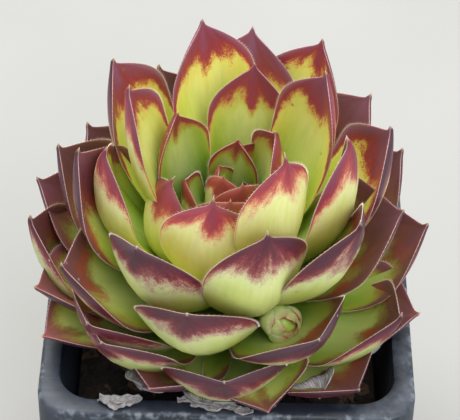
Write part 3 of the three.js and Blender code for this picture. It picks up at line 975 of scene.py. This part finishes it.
rusty = add("MapRange", rusty, 0.0, 0.6)
feed(
    shader,
    base_color=add("Mix", rusty, sockets={6: grey, 7: rust}, **COLOURS),
    roughness=0.8,
    normal=add("Bump", Height=fibres, Strength=0.7, Distance=0.0003),
)
finish_piece(dried_leaves, dry_material, "dried_leaf_skirt", angle=50)

# %% [markdown]
# Shreds of that paper have come off and lie along the front of the lip. Each is one more blade, laid on its
# side and crumpled in the same way.

# %% Lay the shreds on the lip
SHRED_SPOTS = [(-23.5, 0.2), (-21.5, 0.8), (-9, 0.2), (-6.5, 1.1), (-4, 0.1), (-1, 1.3), (1.5, 0.4), (4, 0.9)]
SHRED_LENGTH = 6.0
SHRED_HALF_WIDTH = 1.0
SHRED_SKIN = 0.2
LIP_FRONT = -31.6  # a line along the inside of the front lip
GREY = -0.9  # a draw at which the paper isn't rusty
shreds = []
for number, (aside, on_lip) in enumerate(SHRED_SPOTS):
    length = SHRED_LENGTH + 1.5 * chance(number, 51)
    path = smooth_line([(0, 0), (length / 3, 0.5), (2 * length / 3, 0.05), (length, 0.6)])
    way = math.radians(22 * chance(number, 52))
    half = SHRED_HALF_WIDTH + 0.35 * chance(number, 53)
    points = bend(blade_shape, way, 0, path, half, SHRED_SKIN, cup=0.05)
    points[:, 2] += 0.9 * np.abs(crumple(blade_shape[0], blade_shape[2], number + 20))
    start = [aside, LIP_FRONT - on_lip, POT_HEIGHT + SHRED_SKIN]
    shreds.append(grow_leaf(straight_blade, f"shred_{number}", points + start, luck=GREY))
paper_shreds = join(shreds, "paper_shreds")
finish_piece(paper_shreds, dry_material, None, angle=50)
bpy.data.objects.remove(straight_blade)

# %% [markdown]
# ## The pot
#
# A nursery pot is thin polypropylene, moulded in one shot: tapered walls, a flat lip with a turned-down
# band, and rounded corners. A rounded square is extruded along the wall's profile, up the outside, over the
# lip and down the inside. The corners have to change their radius apart from the width, so each new ring is
# set to its own size and corner.

# %% Model the pot
CORNER_STEPS = 12


def square_ring(half, corner, height):
    """A square with rounded corners at one height, in millimetres."""
    points = []
    for i in range(4 * CORNER_STEPS):
        quarter = i // CORNER_STEPS
        turn = (i + 0.5) * math.pi / (2 * CORNER_STEPS)
        middle = (quarter + 0.5) * math.pi / 2
        x = math.copysign(half - corner, math.cos(middle)) + corner * math.cos(turn)
        y = math.copysign(half - corner, math.sin(middle)) + corner * math.sin(turn)
        points.append((x, y, height))
    return np.array(points)


rim_half = POT_WIDTH / 2
mouth_half = rim_half - LIP_WIDTH
base_half = BASE_WIDTH / 2
mouth_corner = OUTER_CORNER + 0.5


def inside_half(height):
    """Half the width inside the pot at a height."""
    return base_half - WALL + (mouth_half - base_half + WALL) * height / POT_HEIGHT


under_lip = POT_HEIGHT - WALL
band_inside = rim_half - WALL
band_foot = POT_HEIGHT - BAND_DROP
profile = [
    (base_half - 0.6, BASE_CORNER - 0.6, 0),
    (base_half, BASE_CORNER, 0.6),
    (inside_half(under_lip) + WALL, mouth_corner + WALL, under_lip),
    (band_inside, OUTER_CORNER - WALL, under_lip),
    (band_inside, OUTER_CORNER - WALL, band_foot),
    (rim_half - 0.3, OUTER_CORNER - 0.3, band_foot),
    (rim_half, OUTER_CORNER, band_foot + 0.3),
    (rim_half, OUTER_CORNER, POT_HEIGHT - LIP_ROUND),
    (rim_half - 0.15 * LIP_ROUND, OUTER_CORNER, POT_HEIGHT - 0.6 * LIP_ROUND),
    (rim_half - 0.4 * LIP_ROUND, OUTER_CORNER, POT_HEIGHT - 0.25 * LIP_ROUND),
    (rim_half - LIP_ROUND, OUTER_CORNER, POT_HEIGHT),
    (mouth_half + LIP_ROUND, mouth_corner, POT_HEIGHT),
    (mouth_half + 0.3 * LIP_ROUND, mouth_corner, POT_HEIGHT - 0.3 * LIP_ROUND),
    (mouth_half, mouth_corner, POT_HEIGHT - LIP_ROUND),
    (inside_half(BASE_FLOOR + 1), BASE_CORNER - WALL, BASE_FLOOR + 1),
    (inside_half(BASE_FLOOR) - 1, BASE_CORNER - WALL - 1, BASE_FLOOR),
]
pot = start_piece(
    "nursery_pot",
    bpy.ops.mesh.primitive_circle_add,
    vertices=4 * CORNER_STEPS,
    radius=base_half * MM,
    fill_type="NGON",
)
set_place(pot, square_ring(*profile[0]))
for half, corner, height in profile[1:]:
    cap = max(pot.data.polygons, key=lambda face: (len(face.vertices) > 4, face.normal.z, face.index)).index
    select_where(pot, "polygons", lambda face, middle: face.index == cap)
    bpy.ops.mesh.extrude_region_move(TRANSFORM_OT_translate={"value": (0, 0, MM)})  # its place is set next
    bpy.ops.object.mode_set(mode="OBJECT")
    cap = next(face for face in pot.data.polygons if face.select)
    for vertex, spot in zip(cap.vertices, square_ring(half, corner, height) * MM):
        pot.data.vertices[vertex].co = spot
bpy.ops.object.mode_set(mode="EDIT")
bpy.ops.mesh.select_all(action="SELECT")
bpy.ops.mesh.normals_make_consistent(inside=False)
bpy.ops.object.mode_set(mode="OBJECT")
print("pot profile:", len(profile), "rings of", 4 * CORNER_STEPS, "points")

# %% [markdown]
# Four round holes in the floor let the water out. Each is cut by a drill, a plain cylinder, with a Boolean
# modifier that is applied at once.

# %% Drill the drain holes
for x in (-1, 1):
    for y in (-1, 1):
        drill = start_piece(
            "drill",
            bpy.ops.mesh.primitive_cylinder_add,
            vertices=32,
            radius=DRAIN_RADIUS * MM,
            depth=10 * MM,
            location=(x * DRAIN_OFFSET * MM, y * DRAIN_OFFSET * MM, 0),
        )
        cut = pot.modifiers.new("drain", "BOOLEAN")
        cut.operation = "DIFFERENCE"
        cut.object = drill
        bpy.context.view_layer.objects.active = pot
        bpy.ops.object.modifier_apply(modifier=cut.name)
        bpy.data.objects.remove(drill)
print("pot has", len(pot.data.polygons), "faces after drilling")

# %% [markdown]
# Polypropylene from a polished mould is dark and satin. Handling leaves fine scratches on the lip, and
# water and growing mix leave a grey film of dust, which is thickest on the flat lip and in patches. The
# film is also lighter to the right, partly more dust and partly a painted reflection of light on that
# side. The sharp outer edges are paler, partly rubbed and partly a painted highlight.

# %% Pot finish
pot_material, add, shader = new_material("satin moulded polypropylene")
where = add("TexCoord", out="Object")
film = add("TexNoise", Vector=where, Scale=per(18.18), Detail=6.0, Roughness=0.65)
grit = add("TexNoise", Vector=where, Scale=per(1.1111), Detail=3.0)
# Real scratches are finer: these are as coarse as they have to be to show, 8 mm long and 1 mm apart
turned = add("Mapping", Vector=where, Scale=(per(8.333), per(1.1111), per(8.333)), Rotation=(0, 0, 0.5))
scratches = add("TexNoise", Vector=turned, Scale=1.0, Detail=2.0)
plastic = add("ValToRGB", film, stops=[(0.3, "#0f151e"), (0.7, "#1a2330")])
speckle = add("Math", grit, 0.7, 0.05, **TIMES_PLUS)
dusty = add("Math", add("MapRange", film, 0.42, 0.7), speckle, **TIMES)
height = add("SeparateXYZ", where, out=2)
# Dust settles on the lip
near_lip = add("MapRange", height, (POT_HEIGHT - 10) * MM, (POT_HEIGHT - 1.5) * MM, 0.3, 1.0)
dusty = add("Math", near_lip, dusty, **TIMES)
# Lighter to the right: partly more dust, partly a painted reflection of light on that side
dust_and_sheen_right = add("MapRange", height.node.outputs[0], 5 * MM, 30 * MM, 0.3, 1.1)
dusty = add("Math", dust_and_sheen_right, dusty, **TIMES)
# The lip is paler where it is highest and furthest out: partly rubbed, partly a painted highlight on its
# rounded edge
sides = [add("Math", height.node.outputs[i], operation="ABSOLUTE") for i in (0, 1)]
furthest = add("Math", *sides, operation="MAXIMUM")
wear_and_highlight = add("MapRange", furthest, (rim_half - 1.2) * MM, (rim_half - 0.2) * MM)
highest = add("MapRange", height, (POT_HEIGHT - 2.5) * MM, (POT_HEIGHT - 0.5) * MM)
wear_and_highlight = add("Math", highest, wear_and_highlight, **TIMES)
scuff_and_glint_noise = add("TexNoise", Vector=where, Scale=per(1.4286), Detail=2.0)
wear_and_highlight = add("Math", add("MapRange", scuff_and_glint_noise, 0.5, 0.68, 0.0, 0.3), wear_and_highlight, **TIMES)
dust_and_sheen_colour = add("Mix", dusty, sockets={6: plastic, 7: "#80868f"}, **COLOURS)
worn = add("Math", scratches, 0.5, film, **TIMES_PLUS)
relief = add("Math", scratches, 0.6, add("Math", film, 2.0, **TIMES), **TIMES_PLUS)
feed(
    shader,
    base_color=add("Mix", wear_and_highlight, sockets={6: dust_and_sheen_colour, 7: "#b4bac2"}, **COLOURS),
    roughness=add("MapRange", worn, 0.5, 1.0, 0.34, 0.6),
    ior=1.49,
    normal=add("Bump", Height=relief, Strength=0.3, Distance=0.0003),
)
finish_piece(pot, pot_material, "pot", angle=35)

# %% [markdown]
# ## The growing mix
#
# The mix is peat with bits of bark and a little grit. The solid block is right as it is, so it only gets a
# finish, and loose crumbs are scattered over its top. One crumb is a low ball; copies of it are squashed,
# turned and spread by a fixed draw.

# %% Scatter the crumbs
CRUMB_COUNT = 900
CRUMB_SPREAD = 27.5  # from the pot's middle, both ways
CRUMB_SIZES = (0.45, 1.2)
CLEAR_OF_STEM = 1.5
one_crumb = start_piece("one_crumb", bpy.ops.mesh.primitive_ico_sphere_add, subdivisions=1, radius=1)
crumb_points, crumb_faces = take_shape(one_crumb)
soil_top = POT_HEIGHT - SOIL_DROP
copies = []
for i in range(CRUMB_COUNT):
    x, y = CRUMB_SPREAD * chance(i, 41), CRUMB_SPREAD * chance(i, 42)
    if math.hypot(x, y) < STEM_RADIUS + CLEAR_OF_STEM:
        continue
    size = CRUMB_SIZES[0] + (CRUMB_SIZES[1] - CRUMB_SIZES[0]) * abs(chance(i, 43)) ** 2
    axis = Vector((chance(i, 45), chance(i, 46), 0.6)).normalized()
    turn = np.array(Matrix.Rotation(3 * chance(i, 44), 3, axis))
    knobs = np.array([[chance(i * 13 + k, 47)] for k in range(len(crumb_points))])
    squash = [size, size * (0.6 + 0.3 * chance(i, 48)), size * 0.6]
    crumb = (crumb_points * (1 + 0.25 * knobs) * squash) @ turn.T
    copies.append(crumb + [x, y, soil_top + 0.25 + 0.4 * chance(i, 49)])
crumbs = piece_of_copies("growing_mix_crumbs", np.array(copies), crumb_faces)

# Damp peat is almost black and quite matt, with paler bits of bark in it
soil_material, add, shader = new_material("peaty growing mix")
where = add("TexCoord", out="Object")
grain = add("TexNoise", Vector=where, Scale=per(2.381), Detail=5.0, Roughness=0.7)
lumps = add("TexVoronoi", Vector=where, Scale=per(3.3333), out="Color")
bark = add("MapRange", add("SeparateXYZ", lumps), 0.82, 0.86)
peat = add("ValToRGB", grain, stops=[(0.3, "#0f0b09"), (0.55, "#2a1f18"), (0.75, "#4a382b")])
feed(
    shader,
    base_color=add("Mix", bark, sockets={6: peat, 7: "#5b4434"}, **COLOURS),
    roughness=0.95,
    normal=add("Bump", Height=grain, Strength=0.9, Distance=0.001),
)
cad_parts["soil"].data.materials.clear()
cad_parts["soil"].data.materials.append(soil_material)
finish_piece(crumbs, soil_material, None, angle=20)

# %% [markdown]
# ## Floor, light and camera
#
# A plain pale floor, a wide soft light above and behind the plant, a weaker one in front, and a grey world
# that fills the shadows.

# %% Floor and light
floor = start_piece("floor", bpy.ops.mesh.primitive_plane_add, size=6, location=(0, 0, 0))
# The matt face of a board gives soft shadows and no reflections
floor_material, add, shader = new_material("matt pale board")
where = add("TexCoord", out="Object")
mottle = add("TexNoise", Vector=where, Scale=per(125), Detail=3.0)
feed(
    shader,
    base_color=add("ValToRGB", mottle, stops=[(0.3, "#969590"), (0.7, "#9e9c98")]),
    roughness=0.85,
)
floor.data.materials.append(floor_material)


def soft_light(name, spot, aim, size, power, colour):
    """A square lamp that faces a point. Lengths are in metres."""
    lamp = bpy.data.lights.new(name, "AREA")
    lamp.size = size
    lamp.energy = power
    lamp.color = linear(colour)[:3]
    holder = put_in_scene(name, lamp)
    holder.location = spot
    holder.rotation_euler = (Vector(aim) - Vector(spot)).to_track_quat("-Z", "Y").to_euler()


rim_middle = Vector((0, 0, POT_HEIGHT * MM))
soft_light("sky_light", (-0.15, 0.25, 0.75), rim_middle, size=0.6, power=7.6, colour="#fffdf8")
soft_light("front_fill", (0.35, -0.5, 0.7), rim_middle, size=0.7, power=6.4, colour="#f6f8ff")
world = bpy.data.worlds.new("soft grey room")
bpy.context.scene.world = world
world.use_nodes = True
world.node_tree.nodes["Background"].inputs[0].default_value = linear("#d8dde4")
world.node_tree.nodes["Background"].inputs[1].default_value = 1.4
bpy.context.scene.view_settings.view_transform = "Standard"

# %% [markdown]
# The camera looks down at the rosette from the front with a long lens, so that the leaves keep their
# proportions.

# %% Camera
CAMERA_DISTANCE = 0.390  # to the middle of the rim
CAMERA_ELEVATION = 44.0
PICTURE_WIDTH = 460  # pixels
SENSOR_WIDTH = 36  # millimetres
FOCAL_PIXELS = 1990.0
RIM_BELOW_CENTRE = 73.0  # pixels from the picture's middle to the middle of the rim
CAMERA_ROLL = 1.1

camera_data = bpy.data.cameras.new("camera")
camera_data.sensor_width = SENSOR_WIDTH
camera_data.lens = SENSOR_WIDTH * FOCAL_PIXELS / PICTURE_WIDTH
camera = put_in_scene("camera", camera_data)
elevation = math.radians(CAMERA_ELEVATION)
back = Vector((0, -math.cos(elevation), math.sin(elevation)))
tilt = math.pi / 2 - elevation + math.atan(RIM_BELOW_CENTRE / FOCAL_PIXELS)
camera.matrix_world = (
    Matrix.Translation(rim_middle + CAMERA_DISTANCE * back)
    @ Matrix.Rotation(tilt, 4, "X")
    @ Matrix.Rotation(math.radians(CAMERA_ROLL), 4, "Z")
)
bpy.context.scene.camera = camera
print("camera at", [round(c, 4) for c in camera.matrix_world.translation])
